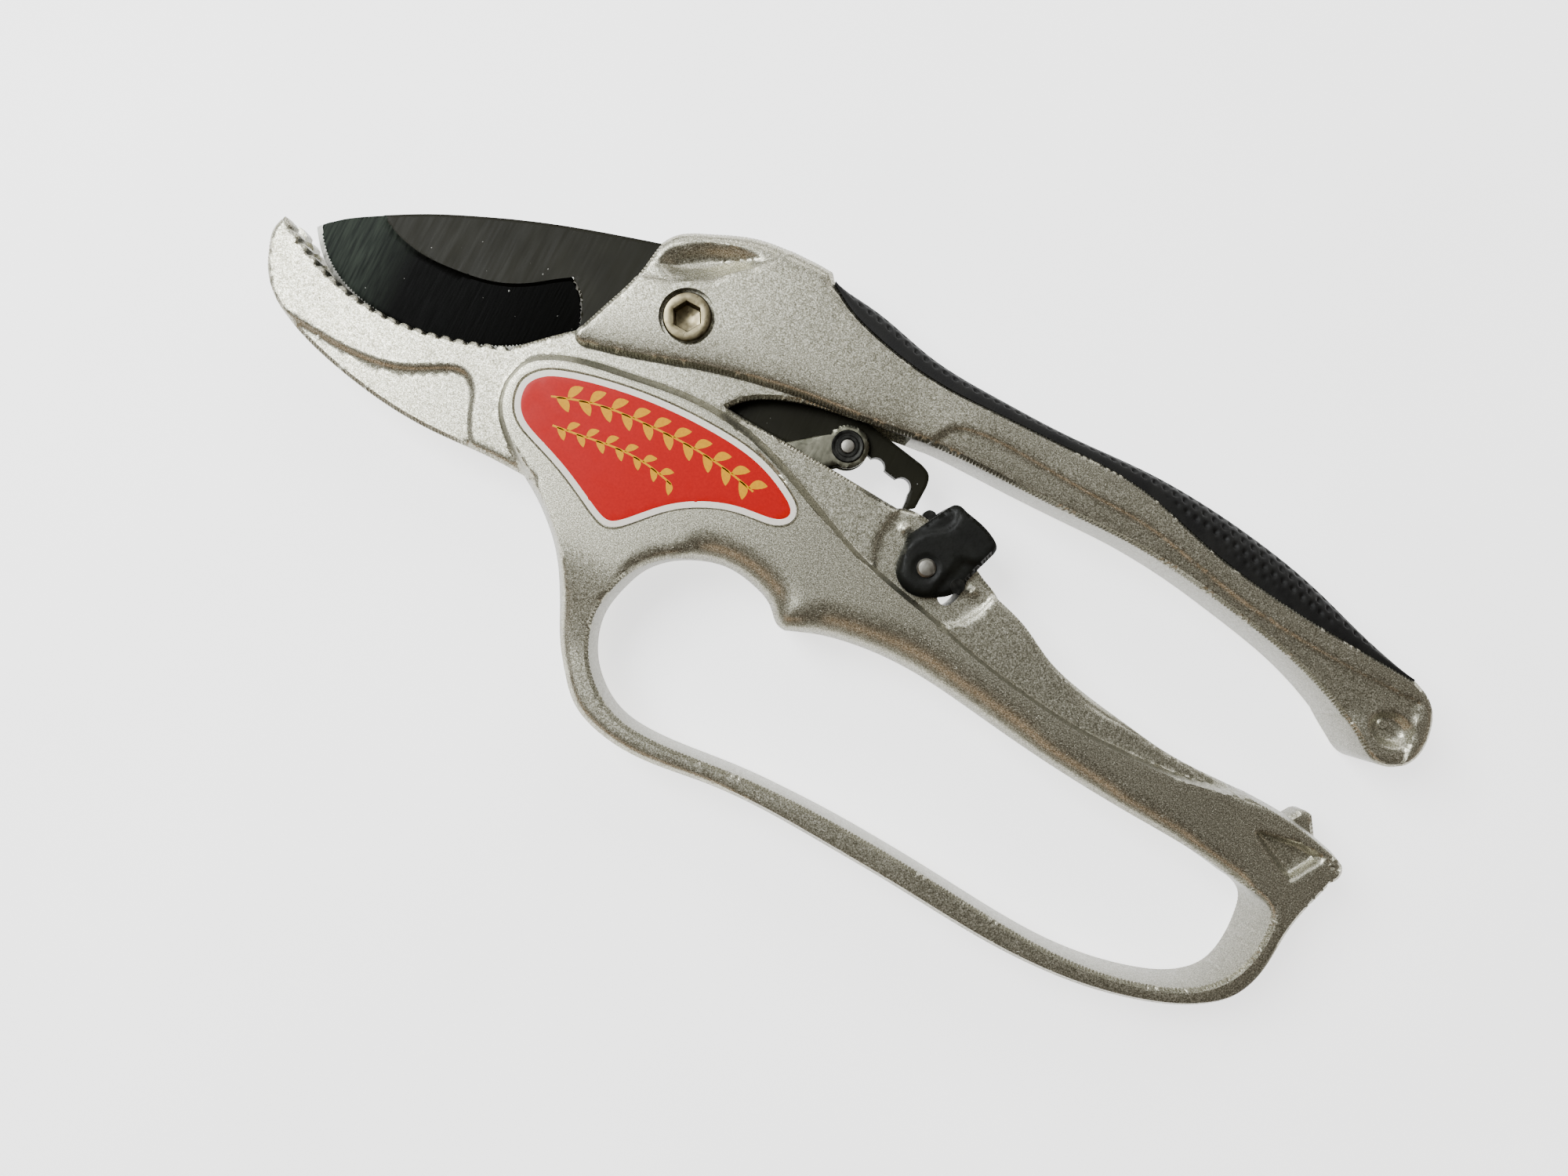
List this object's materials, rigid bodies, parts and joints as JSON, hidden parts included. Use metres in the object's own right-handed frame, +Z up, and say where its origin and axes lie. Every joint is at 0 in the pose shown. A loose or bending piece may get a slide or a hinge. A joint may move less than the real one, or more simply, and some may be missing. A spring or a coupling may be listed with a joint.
{
  "type": "anvil pruner",
  "caption": "Ratchet anvil pruner: serrated anvil hook with finger loop, coated blade, geared-down upper handle with rubber grip, ratchet links and a safety latch.",
  "frame": {"origin": "centre of the bounding box at the plane the tool lies on", "axes": "+X along the tool towards the handle ends, +Y towards the upper handle, +Z up out of the side the tool lies on"},
  "size_m": [0.2042, 0.0846, 0.017],
  "materials": {
    "cast_paint": "die-cast aluminium in silver metallic paint with visible flake",
    "label": "glossy red printed film with a pale border",
    "rubber": "black rubber with moulded dimples",
    "blade_steel": "hardened steel with black non-stick coating",
    "pin_steel": "turned zinc-plated steel",
    "nickel": "nickel-plated steel",
    "spring_steel": "spring wire",
    "zinc_plate": "stamped zinc-plated sheet",
    "black_steel": "black oxide",
    "latch_plastic": "black matte nylon"
  },
  "bodies": {
    "lower_handle": {"lower_handle": "cast_paint", "label": "label", "handle_pivot_stubs": "pin_steel", "pawl_pivot_pin": "pin_steel", "latch_pin": "pin_steel"},
    "upper_handle": {"upper_handle": "cast_paint", "grip_insert": "rubber", "blade_bolt": "nickel", "blade_nut": "nickel", "blade_bushing": "pin_steel", "thrust_washers": "pin_steel", "opening_spring": "spring_steel"},
    "blade": {"blade": "blade_steel"},
    "pawl": {"pawl_link_front": "zinc_plate", "pawl_link_rear": "zinc_plate", "ratchet_pin": "pin_steel", "pawl_clips": "black_steel", "pawl_spacer": "pin_steel", "pawl_spring": "spring_steel"},
    "latch": {"latch_lever": "latch_plastic", "latch_hook": "black_steel", "latch_spacers": "pin_steel", "latch_guide_pin": "pin_steel"}
  },
  "joints": [
    {"name": "handle_pivot", "type": "hinge", "parent": "lower_handle", "child": "upper_handle", "pos_m": [-0.04585, 0.01957, 0.0085], "axis": [0, 0, 1], "range_deg": [0, 22]},
    {"name": "blade_pivot", "type": "hinge", "parent": "upper_handle", "child": "blade", "pos_m": [-0.03515, 0.02457, 0.0085], "axis": [0, 0, 1], "range_deg": [-37.23, 0]},
    {"name": "pawl_pivot", "type": "hinge", "parent": "lower_handle", "child": "pawl", "pos_m": [-0.01795, 0.00617, 0.0085], "axis": [0, 0, 1], "range_deg": [-31.99, 0]},
    {"name": "latch_pivot", "type": "hinge", "parent": "lower_handle", "child": "latch", "pos_m": [0.01775, 0.00697, 0.0085], "axis": [0, 0, 1], "range_deg": [-24, 24]}
  ],
  "couplings": [
    {"joint": "blade_pivot", "follows": "handle_pivot", "ratio": -1.683},
    {"joint": "pawl_pivot", "follows": "handle_pivot", "ratio": -1.445}
  ]
}
